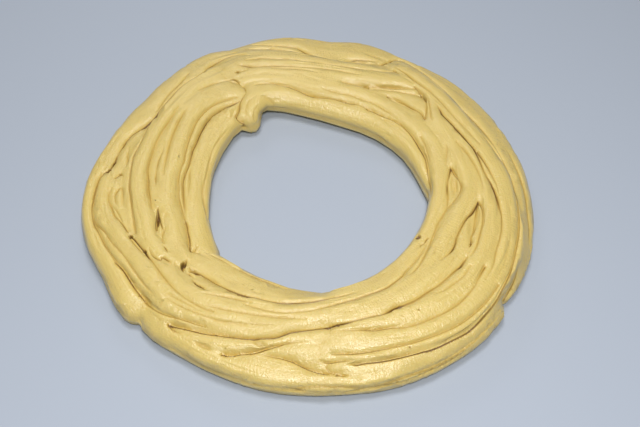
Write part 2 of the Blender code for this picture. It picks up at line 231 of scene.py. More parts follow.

# Creases: half width, then the line as (angle, radius, strength); strength 10 is a deep crease with the
# darkest painted shade.
CREASES = (
    # the outer side on the right, over the start of the upper band and along it to the near end
    (2.6, ((66, 109.5, 3), (65, 112, 7), (64, 116, 8), (62.5, 121.5, 8), (60.5, 123.3, 6), (57, 121.5, 6),
      (52, 118.5, 6), (47, 116, 5), (42, 114.3, 5), (37, 112, 6), (32, 111, 7), (27, 111.7, 7),
      (22, 112.8, 5), (17, 113.6, 3.5), (11, 114.3, 3), (5, 115.6, 4), (0, 117, 5), (-5, 118, 5),
      (-9, 119, 5), (-14, 120.5, 5), (-19, 122, 5), (-24, 123.2, 5), (-29, 125, 5), (-33, 126.5, 6),
      (-37, 127.5, 6), (-41, 128.8, 6), (-45, 129.4, 7), (-50, 130, 9), (-54, 129.6, 8), (-60, 128.7, 10),
      (-64, 127.5, 10), (-68, 126.3, 10), (-72, 125.2, 9), (-76, 123.8, 8), (-79, 123, 4))),
    (2.0, ((20, 109, 2), (15, 110, 4), (10, 111.3, 5), (6, 113.8, 5), (2, 116.3, 4))),
    (2.0, ((60, 110.5, 2), (56, 108, 4.5), (52, 105.5, 4.5), (48, 104.2, 4), (43, 103.3, 3.5),
      (38, 102, 3.5), (30, 100.3, 3), (24, 100.7, 3), (19, 102, 3), (14, 104, 2))),
    (2.6, ((37, 98, 1), (34.5, 97, 7), (32, 95.7, 9.5), (28, 95.5, 9), (24, 96, 9), (20, 96.8, 9.5),
      (16, 97.8, 10), (12, 99.3, 10), (8, 99.8, 7), (4, 100.2, 5), (0, 101.5, 4.5), (-3, 103.5, 7),
      (-6, 105.3, 9), (-9, 107, 8), (-12, 108.6, 6), (-16, 110.8, 4.5), (-22, 113, 4), (-28, 114.3, 4),
      (-33, 117, 3), (-38, 118.3, 1))),
    (2.0, ((11, 100.4, 7), (6, 102.3, 6), (2, 104, 4.5), (-3, 106.5, 3), (-8, 108.5, 1))),
    (1.8, ((49.5, 101, 4), (46.5, 99.8, 9), (44.5, 99, 10), (43, 98.3, 10), (41, 95.5, 4.5), (38.5, 92, 4.5),
      (36, 88, 5), (34.3, 85.3, 4))),
    (1.0, ((46.3, 96.4, 3), (45, 97.4, 9), (43.3, 98.2, 9))),
    (1.8, ((41.5, 98, 3), (38.5, 94.5, 3.5), (35, 90, 3.5), (31, 86.5, 1))),
    (1.6, ((55, 84.5, 7), (53, 84.8, 5), (48, 86, 4.5), (43, 86.4, 5), (39, 87, 5), (36.5, 86.3, 7),
      (34.3, 85.2, 6))),
    (1.4, ((54.5, 83.8, 6), (51, 83, 3), (46, 83, 1))),
    (2.0, ((17, 91.3, 2), (12, 93.5, 3.5), (8, 95, 3.5), (3, 96.8, 3.5), (-3, 98.5, 2.5), (-8, 99.5, 1))),
    (2.0, ((18, 85.5, 1), (14, 83.5, 2.5), (10, 81.3, 2), (7, 80.5, 1))),
    (2.2, ((5.5, 83, 10), (3.5, 83.7, 7), (0, 85.3, 5), (-4, 87, 5), (-7, 86.6, 5), (-10, 85, 4.5),
      (-13, 83, 4), (-16, 81, 4), (-20, 79.8, 3.5), (-25, 79.1, 3.5), (-30, 79.8, 4), (-35, 81.3, 4),
      (-40, 83.5, 4), (-45, 86, 4), (-50, 88, 3.5), (-54, 88.6, 1))),
    (2.0, ((5.5, 82.7, 10), (4, 82, 8), (1, 80.8, 5), (-2, 79.8, 4), (-5, 79.5, 6), (-9, 80, 3.5),
      (-14, 80.6, 3.5), (-18, 80.2, 2))),
    (2.4, ((-35, 80, 2), (-41, 81.5, 3), (-47, 83.2, 3.5), (-52, 84.5, 4), (-55, 86.3, 5), (-59, 87.5, 5),
      (-63, 88.5, 5.5), (-69, 88.2, 5), (-74, 88.7, 5), (-79, 89.2, 5), (-86, 91.5, 3.5), (-92, 93, 3.5),
      (-98, 94.3, 3.5), (-105, 94, 3), (-110, 93, 2))),
    # the inner side, from the folded end round to the right
    (2.6, ((113, 85.5, 2), (110, 84.8, 4), (106, 83.3, 5), (103, 81, 6), (100, 79, 7), (97, 76.6, 8),
      (94, 74, 8), (91, 71.6, 9), (88, 70, 9), (85, 69.3, 7), (81, 69, 5), (76, 68.8, 5), (72, 68.8, 9),
      (68, 68.8, 8), (64, 69, 4), (60, 69, 5), (58, 69, 10), (55, 69.2, 8), (50, 69.6, 8), (46, 70.4, 7),
      (42, 71, 6), (38, 71.6, 6), (33, 71.5, 6), (28, 71.3, 8), (23, 71, 9.5), (18, 71, 9), (14, 70.9, 6),
      (9, 70.2, 6), (4, 69.7, 5), (-1, 70.2, 5), (-5, 70.5, 4), (-10, 70.8, 1))),
    (2.0, ((83, 75, 2), (76, 73.6, 3.5), (70, 74, 3.5), (64, 73.6, 3.5), (57, 74, 3.5), (50, 73.3, 3.5),
      (43, 72.8, 2))),
    (1.8, ((27, 75, 3), (22, 74, 3.5), (17, 72.8, 3.5), (12, 71.9, 2))),
    (2.4, ((75.5, 83.2, 4), (72, 83.5, 8), (69, 84.5, 9), (66.5, 85.3, 10), (64, 86.3, 9), (61, 88.6, 8),
      (58, 91.3, 7), (55, 93.8, 6), (52, 96, 5), (50, 98, 4), (48.5, 100, 5))),
    (1.8, ((65.5, 85, 10), (64.3, 84.5, 9), (61, 86.3, 4), (57, 88.5, 4), (53, 91.3, 3.5), (50, 93.3, 3.5),
      (47, 96, 4))),
    (2.2, ((112, 108, 2), (109, 107, 4), (106, 106, 4.5), (102, 103.5, 5), (98, 102, 5), (95, 101, 5),
      (92, 99.5, 5), (88, 98.8, 4.5), (83, 97, 4), (77, 96.7, 3.5), (72, 97.2, 3.5), (66, 99.5, 3),
      (62, 102, 3), (59.5, 104.8, 4))),
    (1.2, ((60, 107, 5), (58.5, 105.6, 8), (57, 104.9, 3))),
    (2.4, ((115, 105.5, 3), (113, 103.3, 6), (111, 101, 7), (109, 99.6, 6), (105, 97.6, 5), (101, 96, 5),
      (96, 94.5, 4.5), (91, 93, 4), (86, 92.3, 4), (80, 92, 3.5), (75, 91.5, 3), (70, 91.6, 1))),
    (1.4, ((117, 100.6, 8), (115.5, 99.5, 5), (113, 98.6, 2))),
    (1.8, ((104, 94.8, 2), (100, 93, 3.5), (96, 91.7, 3), (91, 90, 2.5), (86, 88, 1))),
    (2.4, ((108.5, 121.5, 3), (106, 119.8, 5), (103, 118.4, 6), (99, 115.3, 6), (96, 112.6, 6),
      (93, 110.8, 6), (90, 108.8, 7), (88, 107.3, 6), (84, 105.6, 5), (80, 105.2, 5), (77.5, 105.5, 9))),
    (2.0, ((77.8, 105.6, 10), (75.5, 108.6, 7), (73, 110.6, 6), (70, 112, 4), (67, 112.8, 1))),
    (1.6, ((77, 105, 9), (74.5, 104.6, 5), (72, 106, 3.5), (69.5, 108, 2))),
    (2.4, ((107, 127, 2), (103, 123, 4), (100, 120.5, 4.5), (97, 118.5, 5), (94, 116.5, 6), (91.5, 112.8, 6),
      (89.5, 110, 7), (88.3, 108, 4))),
    (2.0, ((112, 75.5, 1), (109.5, 72.5, 2), (107, 69.3, 3), (104, 66.6, 4), (101, 64.3, 4), (97, 62.6, 3),
      (92, 61, 2), (86, 60, 1))),
    (1.2, ((124, 98.5, 3), (121.5, 97, 6), (119.5, 95.8, 7), (118.6, 93, 5), (118.5, 90, 5), (117.8, 87, 5),
      (118, 84, 4), (118.5, 81.5, 2))),
    (1.0, ((121, 95, 4), (119.3, 92.3, 5), (118.6, 90.5, 3))),
    (2.0, ((133, 100.2, 2), (128, 99.6, 4), (124, 98.5, 4))),
    # the far left
    (2.8, ((203, 119, 5), (198, 120.3, 5), (195, 121.8, 6), (192, 122.3, 5), (189, 122.4, 5),
      (186, 121.6, 6), (183, 121, 6), (179, 120, 5), (176.8, 118, 6), (175.6, 115.5, 10), (174.5, 114.8, 6),
      (172.8, 113.9, 10), (171, 114, 7), (168, 113.8, 4), (165, 113.2, 7), (163, 113, 6), (160.5, 111.8, 6),
      (158, 109.6, 8), (155.5, 107.7, 9), (153, 106.3, 10), (150.5, 106, 10), (148.5, 106.8, 5),
      (145, 107.5, 5), (141, 108.7, 5), (137, 110.8, 5), (133, 111.8, 5), (129, 112, 4.5), (126, 113.3, 5),
      (123, 116.3, 6), (119, 118.3, 5), (115, 118.5, 4.5), (112, 116.3, 3.5), (110, 113.5, 1))),
    (2.2, ((149, 108, 3), (146, 109.3, 4), (142, 111.3, 4), (138, 113, 4.5), (135, 114.3, 4.5),
      (132.5, 116.3, 4), (130, 119, 2))),
    (2.4, ((203, 101.5, 4), (198, 100.6, 4.5), (193, 100.1, 5), (188, 100.3, 5.5), (184, 101.3, 5.5),
      (180, 101.8, 5), (176, 102.3, 4.5), (172, 103, 5), (169, 103.5, 5), (165, 103, 4), (161, 103.4, 4),
      (157.5, 104.7, 5), (154, 106, 6))),
    (2.4, ((195, 89.3, 3), (190, 89.5, 4.5), (185, 90.3, 5), (180, 91, 5.5), (176, 92.3, 5),
      (172, 92.8, 4.5), (168, 93.2, 4), (163, 94, 3.5), (157, 95, 3.5), (150, 96, 3), (144, 98, 1))),
    (2.4, ((178, 83, 1), (170, 83.6, 3.5), (165, 84.8, 4), (160, 86.3, 4), (155, 88, 4), (150, 90, 4),
      (146, 91.7, 3.5), (142, 94, 1))),
    (2.0, ((202, 73.6, 4), (196, 73.1, 4.5), (190, 73.5, 4.5), (184, 73.4, 4.5), (178, 74, 4.5),
      (172, 74, 4.5), (168, 73.8, 4.5), (163, 75.2, 5), (158, 76.7, 5), (154, 78.2, 5), (150, 79.7, 5),
      (146, 81.6, 5), (142, 83, 5), (138, 84, 5), (133, 84.4, 5), (128, 83.5, 4.5), (123, 82.2, 2))),
    (2.4, ((200, 72.6, 2), (192, 71.3, 5), (185, 71.2, 6), (180, 71.4, 6), (175, 71, 6), (170, 70.6, 6),
      (165, 71.2, 6), (160, 72.5, 8), (157, 72.9, 8), (154, 73.6, 8), (150, 75.1, 9), (146, 76.6, 9.5),
      (142, 78.3, 10), (138, 79.3, 10), (134, 79.8, 10), (130, 79.6, 10), (127, 79, 8), (124, 78.6, 5),
      (122, 78.4, 2))),
    (2.0, ((190, 69, 1), (182, 67.6, 3), (175, 68.5, 3), (170, 69.2, 1))),
    (2.0, ((205, 61.5, 2), (195, 60.4, 3.5), (185, 60, 3.5), (175, 59.2, 3.5), (165, 60, 3.5),
      (157, 62, 3.5), (150, 63.2, 3.5), (143, 64.3, 3), (136, 66, 1))),
    (1.6, ((117.5, 82.5, 1), (119.5, 80.5, 3), (122.8, 77.4, 5), (126.6, 71.8, 7), (129.4, 69.5, 9),
      (129.3, 67.3, 9), (127.5, 65, 6))),
    (1.6, ((116.5, 69.5, 1), (118.8, 67.7, 2), (120.3, 66.3, 2), (121.4, 64.5, 2), (122, 62.5, 1))),
    (1.6, ((115, 76.5, 1), (119.5, 74.5, 2), (123, 70.5, 2), (124.8, 66, 1.5))),
    # the rough stretch on the left
    (1.4, ((201.5, 105.2, 5), (199, 106.2, 6), (196.5, 107.8, 5), (194, 110, 4.5), (191, 111, 4.5),
      (188, 112.6, 3.5), (185, 112.8, 3), (183, 111.5, 2))),
    (1.6, ((190.5, 108, 1), (188.5, 109, 3.5), (186.3, 109.2, 4), (184.3, 108.1, 4.5), (183, 106.6, 3.5),
      (184.5, 105.2, 3), (188, 104.9, 2), (191, 105.2, 1))),
    (1.4, ((197, 106.5, 3), (193, 108.2, 4), (190.5, 110.3, 2))),
    (1.2, ((179, 110.5, 5), (178.3, 109, 7), (177.5, 107.5, 5), (178.5, 106, 2))),
    (1.6, ((175, 106, 1), (172, 106, 4), (169.5, 107.5, 4), (166, 109, 1))),
    # the left and its slits
    (2.6, ((243, 112, 4), (238, 113.6, 5), (234, 115.6, 5), (231, 117, 5), (228, 117.5, 5), (224, 117, 6),
      (220, 116.7, 7), (216, 116.1, 7), (213, 116, 7), (210.5, 116.9, 6), (208, 117.6, 4), (203, 119, 5))),
    (0.9, ((224.5, 117, 3), (223, 117.1, 9), (221.7, 117.3, 6))),
    (0.9, ((220.3, 116.8, 5), (218, 116.3, 10), (214, 116, 10), (211, 116.7, 10), (209.5, 117.9, 5))),
    (2.2, ((226, 112.8, 1), (221, 112.4, 3.5), (215, 112, 4), (210, 112.1, 4), (206, 113.7, 4),
      (203, 115.3, 4), (199, 117, 4.5), (196, 119.8, 5), (193.5, 121.8, 3))),
    (2.2, ((243, 103.6, 3), (238, 104.6, 3.5), (231, 104.2, 3.5), (224, 102.8, 4), (218, 101.6, 4),
      (213, 101.5, 4))),
    (1.8, ((240, 106.3, 2), (232, 107.2, 3), (227, 108.6, 1))),
    (1.1, ((203.2, 104.7, 9), (205.5, 103.3, 9), (209, 102.3, 9), (211.5, 101.6, 11), (214, 101.7, 8),
      (217, 101.2, 3))),
    (1.0, ((204.5, 105.3, 4), (208, 104.3, 5), (213, 102.8, 3))),
    (1.0, ((211, 99, 2), (214, 99.4, 5), (216, 98.5, 6), (217.2, 97, 6), (216.6, 95.8, 6), (218.5, 94.6, 6),
      (220, 93.8, 2))),
    (0.9, ((216, 91.8, 2), (214, 91.4, 7), (212.5, 91.4, 2))),
    (0.8, ((204.7, 90.4, 7), (202, 89, 8), (199, 87.4, 9), (196, 86.4, 9), (194.8, 86.1, 3))),
    (0.8, ((206, 87.1, 3), (203, 86.9, 6), (199, 86.6, 9), (196, 86.2, 6))),
    (1.6, ((212, 90.5, 1), (209, 89.5, 3.5), (206.5, 87.3, 3.5), (205, 85.5, 1))),
    (1.6, ((224.8, 92, 6), (223.6, 91.2, 9), (222.8, 89.5, 12), (222.6, 87.8, 10), (221.8, 86, 3))),
    (0.9, ((229.5, 91.5, 2), (228, 91.7, 8), (227, 91.3, 3))),
    (0.9, ((236.5, 94.4, 3), (234.5, 94, 10), (232, 94, 10), (230.3, 93.2, 3))),
    (1.8, ((221, 77.5, 2), (220.4, 79, 7), (219.3, 80.6, 8), (217.3, 79.7, 8), (215, 77.7, 8),
      (212, 76.1, 8), (209, 75, 7), (206, 73.9, 7), (202, 73.6, 4))),
    (1.6, ((220, 79.5, 5), (218.7, 77, 4), (218, 75.3, 2))),
    (2.0, ((262, 75.6, 3), (255, 73.6, 5), (248, 72.6, 5), (240, 72.1, 4), (236, 72.2, 3), (230, 72.2, 4),
      (226, 73.2, 3), (222, 75, 1))),
    (1.0, ((184, 86.2, 1), (180.5, 86.8, 5), (176, 87.2, 3), (172, 87.6, 5), (168, 87.6, 3.5),
      (163, 88.2, 1))),
    # the near side
    (2.6, ((226.5, 89.5, 8), (227.8, 87.6, 8), (230, 86.6, 6), (233.5, 86.2, 5), (238, 86.7, 6),
      (243, 87.2, 7), (248, 87.4, 8), (253, 87, 8), (257, 87.4, 7), (261, 87.8, 7), (266, 86.9, 7),
      (271, 86, 7), (275, 84.8, 6), (279, 84.1, 5), (283, 83.9, 4), (288, 84, 1))),
    (2.6, ((325, 103.1, 3), (322.5, 103.3, 7), (321, 103.4, 8), (319, 102.8, 5), (312, 102.8, 4.5),
      (308, 102.4, 5), (303, 102.6, 5), (299.5, 102.2, 6), (297.5, 101.6, 10), (295.5, 101.6, 9),
      (293, 102.5, 6), (291, 102.3, 5), (287, 101.6, 5), (284, 101.4, 5), (281.5, 101.5, 8),
      (278, 101.2, 10), (274, 101.6, 8), (270, 102.6, 7), (267, 103.4, 8), (265, 104.5, 9), (263, 106.5, 10),
      (261, 107.8, 10), (258, 109, 8), (255, 110.4, 8), (251, 111.6, 8), (247, 113.1, 9), (243, 115, 9),
      (240, 116.3, 9), (237, 117.8, 9), (235, 118.8, 10), (233.9, 119.3, 8))),
    (1.6, ((238, 120.2, 2), (236, 120.3, 6), (234.2, 119.9, 8))),
    (2.2, ((249.8, 122.3, 4), (250, 121, 10), (251.5, 120.7, 11), (254, 118.6, 8), (257, 116.6, 8),
      (260, 114.2, 8), (263, 111.7, 7), (265, 110.3, 5), (268, 109.6, 3), (271, 109.8, 1))),
    (2.2, ((275.3, 125.3, 4), (274.3, 124.7, 11), (272.8, 123.7, 11), (271, 122.4, 9), (269, 120.5, 8),
      (267, 118.6, 7), (264, 117.2, 6), (261, 116.8, 4), (258, 116.2, 1))),
    (1.4, ((279.2, 127.4, 3), (278, 126.8, 9), (276.6, 125.7, 6), (275.4, 124.2, 5), (274.8, 122, 4),
      (275.3, 120.3, 2))),
    (1.2, ((283.5, 124.1, 4), (281.7, 123.5, 9), (280, 122.6, 2))),
    (1.6, ((281, 121.7, 2), (278, 120.6, 6), (275.3, 120, 6), (273.6, 118.6, 3))),
    (2.4, ((323, 125, 4), (318, 125.8, 4), (313, 126, 4.5), (308, 125.7, 4.5), (303, 124.5, 4.5),
      (298, 123, 5), (294, 121.8, 5), (290, 120.5, 5), (286, 119.5, 6), (282, 118.4, 7), (279, 117.4, 6),
      (276, 116.5, 3))),
    (2.4, ((325.3, 113.8, 7), (322, 114.6, 4), (318, 116.4, 3.5), (313, 117.3, 4), (309, 117.3, 4),
      (305, 116.3, 4), (300, 115, 4), (296, 113.6, 4), (292.5, 111, 5), (289, 109.5, 8), (286.5, 108.2, 7),
      (284, 107, 4), (281, 105.8, 3), (278, 104.5, 1))),
    (1.8, ((323, 108, 2), (318, 108.5, 3), (312, 107.6, 3), (308, 106.2, 1))),
    (2.2, ((320, 133, 1), (310, 134.3, 3.5), (300, 134.6, 4), (290, 134, 4), (283, 133.4, 3.5),
      (277, 131.6, 4), (272, 130.6, 4), (266, 131, 4), (260, 131, 4), (254, 130.2, 4), (249, 129.4, 4),
      (243, 128.4, 3), (238, 127.3, 1))),
    (2.0, ((262, 101, 1), (256, 103, 3), (250, 105, 3), (245, 107, 3), (240, 108, 3), (234, 109.5, 3),
      (228, 110.5, 1))),
    (2.0, ((270, 97, 2), (262, 97.3, 3.5), (256, 97.8, 3.5), (250, 99, 3.5), (245, 100.6, 3.5),
      (240, 102.3, 2))),
    (1.8, ((252, 91.5, 2), (247, 92, 4), (243, 93.3, 4), (239, 95.5, 3), (236, 97.5, 1))),
    # the almond gap on the right
    (1.8, ((348.9, 97, 10), (347, 98.8, 8), (344, 100.5, 5), (340, 101.8, 4.5), (335, 102.8, 4.5),
      (330, 104.3, 4), (326, 104.5, 2))),
    (1.0, ((348, 96.8, 9), (344, 96.8, 5), (340, 97.6, 4), (336, 98.8, 5), (333, 99.2, 4), (330.8, 100.7, 9),
      (329, 101, 2))),
    (1.6, ((349, 97, 10), (346.5, 96, 9), (343.5, 94.6, 9), (341, 93, 8), (338, 92.1, 6), (334, 91.8, 5),
      (331, 92.1, 5), (328, 93.5, 7), (325.5, 94.1, 8), (323, 94, 4), (319, 93, 1))),
    (2.2, ((15, 120.5, 1), (9, 122, 3), (3, 123.3, 4), (-3, 124.5, 4.5), (-9, 125.2, 4.5), (-13, 126.5, 4.5),
      (-17, 128, 4), (-20, 129.3, 1))),
    (1.6, ((-27, 127, 2), (-30, 128.4, 5), (-33, 129, 6), (-37, 129, 5), (-41, 129.5, 2))),
    (1.0, ((326.5, 78.9, 4), (325, 78.6, 6), (323, 79, 4), (321.5, 78.2, 5), (320.5, 79, 2))),
)

# Pits and, with a negative depth, small bumps:
# angle, radius, half length, half width, turn, depth, painted shade in the pit.
PITS = (
    (200.3, 87.7, 5.4, 1.1, -13, 0.9, 1.0), (223, 89.3, 2.4, 1.7, -50, 2.0, 1.0),
    (227.5, 88, 4.2, 1.5, 0, 1.2, 0.4), (203.8, 104.5, 1.4, 1.2, 0, 1.5, 1.0),
    (211.4, 101.6, 1.4, 1.0, 0, 1.4, 1.0), (245, 121, 5.5, 1.3, 0, 0.8, 0.3),
    (258, 112, 5.0, 2.0, -20, 0.9, 0.3), (177.5, 108, 1.2, 1.0, 0, 0.8, 0.5),
    (246.8, 89, 0.9, 0.8, 0, 1.0, 0.8), (301.5, 109, 0.7, 0.7, 0, 0.5, 0.6),
    (294.5, 123.8, 0.7, 0.7, 0, 0.5, 0.6), (73, 108, 6.0, 1.8, 28, 1.3, 0.3),
    (46, 85, 12.0, 1.4, 0, 1.0, 0.15), (59, 106, 1.0, 1.0, 0, 1.0, 0.5),
    (116.7, 100.4, 1.3, 1.0, 0, 1.2, 0.7), (175.7, 115.4, 1.6, 1.0, 0, 1.6, 0.9),
    (172.6, 114, 2.0, 0.9, 0, 1.4, 0.9), (164.5, 113, 1.5, 0.8, 0, 1.0, 0.6),
    (56.5, 91.5, 9.0, 1.7, 28, 1.0, 0.3), (44.2, 98.2, 2.2, 0.8, -12, 1.8, 1.0),
    (65.5, 84.8, 2.4, 1.1, 12, 1.8, 1.0), (340, 96.8, 12.0, 3.0, 5, 1.2, 0.1),
    (358.5, 83, 9.0, 2.0, 0, 1.2, 0.2), (324.6, 73.8, 1.8, 1.4, 0, 2.5, 1.0),
    (203.5, 73.2, 1.6, 1.2, 0, -0.9, 0), (178.5, 112.3, 1.6, 1.1, 0, -0.8, 0),
    (131, 74, 3.2, 1.6, 60, -0.8, 0),
)


def ramp(values, start, length):
    """Rises from 0 at the start to 1 after that length, and stays there."""
    return np.clip((values - start) / length, 0, 1)


def lattice_noise(places, cells, seed):
    """Smooth random values from -1 to 1 at the places, on a lattice with that cell size per axis."""
    size = 48
    table = np.random.default_rng(seed).uniform(-1, 1, (size, size, size))
    grid = places / np.array(cells)
    low = np.floor(grid).astype(int)
    share = grid - low
    share = share * share * (3 - 2 * share)
    total = np.zeros(len(places))
    for corner in itertools.product((0, 1), repeat=3):
        weight = np.prod(np.where(corner, share, 1 - share), axis=1)
        index = (low + corner) % size
        total += weight * table[index[:, 0], index[:, 1], index[:, 2]]
    return total


def noise_sum(layers, places):
    """The sum of several layers of noise: height in mm, cell sizes and seed."""
    return sum(height * lattice_noise(places, cells, seed) for height, cells, seed in layers)


def smooth_route(points, step):
    """Stations at even distances along a Catmull-Rom curve: x, y and the points' other columns."""
    points = np.array(points, dtype=float)
    angle = np.radians(points[:, 0])
    knots = np.column_stack((points[:, 1] * np.cos(angle), points[:, 1] * np.sin(angle), points[:, 2:]))
    knots = np.vstack((2 * knots[0] - knots[1], knots, 2 * knots[-1] - knots[-2]))
    share = np.linspace(0, 1, SPAN_SAMPLES, endpoint=False)[:, None]
    curve = []
    for a, b, c, d in zip(knots, knots[1:], knots[2:], knots[3:]):
        bend = (2 * a - 5 * b + 4 * c - d) * share**2 + (3 * b - a - 3 * c + d) * share**3
        curve.append(0.5 * (2 * b + (c - a) * share + bend))
    curve = np.vstack(curve + [knots[-2][None]])
    travel = np.hypot(*np.diff(curve[:, :2], axis=0).T)
    travel = np.concatenate(([0.0], np.cumsum(travel)))
    count = max(3, round(travel[-1] / step))
    stations = np.linspace(0, travel[-1], count + 1)
    return stations, np.column_stack([np.interp(stations, travel, column) for column in curve.T])


def outward_of(route):
    """Unit vectors across the route, towards the outside of the ring."""
    along = np.gradient(route[:, :2], axis=0)
    along /= np.linalg.norm(along, axis=1)[:, None]
    outward = np.column_stack((along[:, 1], -along[:, 0]))
    return outward if np.sum(outward * route[:, :2]) > 0 else -outward


def rope_skin(tapers, points):
    """Points of a plain rope of dough, one row for each section along its route."""
    stations, route = smooth_route(points, SECTION_STEP)
    outward = outward_of(route)
    start = np.minimum(1.0, (stations + BLUNT_END) / tapers[0])
    end = np.minimum(1.0, (stations[-1] - stations + BLUNT_END) / tapers[1])
    size = np.sqrt(1 - (1 - start) ** 2) * np.sqrt(1 - (1 - end) ** 2)
    angles = np.radians(np.arange(0, 360, SECTION_TURN))
    cosine, sine = -np.cos(angles), np.sin(angles)
    side = np.sign(cosine) * np.abs(cosine) ** (2 / SQUASH)
    rise = np.sign(sine) * np.abs(sine) ** (2 / SQUASH)
    sideways = side * (FULLNESS * route[:, 3] * size / 2)[:, None]
    height = (route[:, 2] - ROPE_DEPTH / 2)[:, None] + rise * (ROPE_DEPTH / 2 * size)[:, None]
    flat = route[:, None, :2] + outward[:, None, :] * sideways[:, :, None]
    return np.dstack((flat, np.maximum(height, 0.0)))


def bed_skin():
    """Points of the low bed of dough under the ropes, one row for each section."""
    angles = np.arange(0, 361, BED_TURN)
    edge = np.array(EDGES, dtype=float)
    inner = np.interp(angles, edge[:, 0], edge[:, 1], period=360) + BED_INSET
    outer = np.interp(angles, edge[:, 0], edge[:, 2], period=360) - BED_INSET
    rows = []
    for angle, near, far in zip(np.radians(angles), inner, outer):
        corners = ((near, 0), (far, 0), (far, BED_SHOULDER), (far - BED_BEVEL, BED_TOP),
                   (near + BED_BEVEL, BED_TOP), (near, BED_SHOULDER))
        rows.append([(r * math.cos(angle), r * math.sin(angle), z) for r, z in corners])
    return np.array(rows)


def tube_faces(sections, around, start):
    """Quads between neighbouring sections, and the two end caps."""
    corner = start + np.arange(sections * around).reshape(sections, around)
    beside = np.roll(corner, -1, axis=1)
    quads = np.stack((corner[:-1], beside[:-1], beside[1:], corner[1:]), axis=-1).reshape(-1, 4)
    return quads.tolist() + [corner[0][::-1].tolist(), corner[-1].tolist()]


def placed(name, data, place=(0, 0, 0)):
    """A new object with that data, in the scene at that place."""
    thing = bpy.data.objects.new(name, data)
    thing.location = place
    bpy.context.scene.collection.objects.link(thing)
    return thing


def loose_ropes():
    """An object with the bed and all the ropes, still as separate bodies that cross each other."""
    places, faces, count = [], [], 0
    for tube in [bed_skin()] + [rope_skin(*rope) for rope in ROPES.values()]:
        faces += tube_faces(tube.shape[0], tube.shape[1], count)
        places.append(tube.reshape(-1, 3))
        count += len(places[-1])
    data = bpy.data.meshes.new("ropes")
    data.from_pydata(np.vstack(places).tolist(), [], faces)
    return placed("ropes", data)


def melted_skin():
    """All ropes and the bed melted into one closed skin of even quads, still without its creases."""
    ropes = loose_ropes()
    melt = ropes.modifiers.new("melt", "REMESH")
    melt.mode = "VOXEL"
    melt.voxel_size = COARSE_CELL
    data = applied(ropes)
    edges = read_edges(data)
    write_points(data, relaxed(read_points(data), edges, SOFTENING))
    for _ in range(FILL_PASSES):
        fill_hollows(data, edges)
    places = pressed(read_points(data), read_points(data, "normal"))
    places = relaxed(places, edges, EASING)
    places[:, 2] = np.where(places[:, 2] < FOOT, 0.0, places[:, 2])
    write_points(data, places)
    finer = ropes.modifiers.new("finer", "SUBSURF")
    finer.levels = 1
    skin = applied(ropes)
    bpy.data.objects.remove(ropes)
    return skin


def applied(thing):
    """The object's mesh with its modifiers applied; the object keeps that mesh and no modifier."""
    data = bpy.data.meshes.new_from_object(thing.evaluated_get(bpy.context.evaluated_depsgraph_get()))
    thing.modifiers.clear()
    thing.data = data
    return data


def read_points(data, what="co"):
    """The places of the mesh's points, or their normals."""
    values = np.empty(len(data.vertices) * 3)
    data.vertices.foreach_get(what, values)
    return values.reshape(-1, 3)


def write_points(data, places):
    """Moves the mesh's points to the places."""
    data.vertices.foreach_set("co", places.ravel())
    data.update()


def read_edges(data):
    """The two points of each of the mesh's edges."""
    edges = np.empty(len(data.edges) * 2, dtype=int)
    data.edges.foreach_get("vertices", edges)
    return edges.reshape(-1, 2)


def relaxed(values, edges, rounds, share=0.5):
    """The values of each point, averaged with its neighbours' for a number of rounds."""
    ends, others = edges.T.ravel(), edges.T[::-1].ravel()
    count = np.bincount(ends, minlength=len(values))
    values = values.copy()
    for _ in range(rounds):
        for column in range(values.shape[1]):
            mean = np.bincount(ends, weights=values[others, column], minlength=len(values)) / count
            values[:, column] += share * (mean - values[:, column])
    return values


def fill_hollows(data, edges):
    """Relaxes the skin where that lifts it, so that the gaps between ropes fill up and the crests stay."""
    normals = read_points(data, "normal")
    places = read_points(data)
    for _ in range(FILL_ROUNDS):
        move = relaxed(places, edges, 1) - places
        lift = np.einsum("ij,ij->i", move, normals)
        places += move * (lift > 0)[:, None]
    write_points(data, places)


def empty_map(cell=MAP_CELL, kind=float):
    """A square map of the ring from above, all zero."""
    size = int(2 * MAP_HALF / cell) + 1
    return np.zeros((size, size), dtype=kind)


def cells_of(places, cell=MAP_CELL):
    """The two indices of the map's cell at each place."""
    return np.round((places[..., :2] + MAP_HALF) / cell).astype(int)


def looked_up(field, places, cell=MAP_CELL):
    """The map's values at the places, between its cells."""
    grid = np.clip((places[:, :2] + MAP_HALF) / cell, 0, len(field) - 1.001)
    low = grid.astype(int)
    share = grid - low
    x, y = low.T
    across, up = share.T
    return (field[x, y] * (1 - across) * (1 - up) + field[x + 1, y] * across * (1 - up)
            + field[x, y + 1] * (1 - across) * up + field[x + 1, y + 1] * across * up)


def blurred(field, sigma, cell=MAP_CELL):
    """The map, blurred by three running means that together are close to a bell of that sigma in mm."""
    reach = max(1, int(round(sigma / cell)))
    width = 2 * reach + 1
    for _ in range(3):
        for _ in ("rows", "columns"):
            total = np.cumsum(np.concatenate((np.zeros_like(field[:1]), field)), axis=0)
            high = np.minimum(np.arange(len(field)) + reach + 1, len(field))
            low = np.maximum(np.arange(len(field)) - reach, 0)
            field = ((total[high] - total[low]) / width).T
    return field


def pressed(places, normals):
    """The skin's points, with the ropes pressed towards the smooth dome that they form together."""
    cell = 1.0
    x, y = cells_of(places, cell).T
    height = empty_map(cell)
    np.maximum.at(height, (x, y), places[:, 2])
    ring = height > RING_LOW
    dome = blurred(np.where(ring, height, DOME_EDGE), DOME_BLUR, cell) + DOME_LIFT
    deep = ramp(blurred(ring.astype(float), RIM_BLUR, cell), 0.7, 0.25)  # 0 at the rims, 1 farther in
    share = PRESSING * looked_up(deep, places, cell) * np.clip(normals[:, 2] * 2 - 0.4, 0, 1)
    places = places.copy()
    places[:, 2] += share * (looked_up(dome, places, cell) - places[:, 2])
    return places


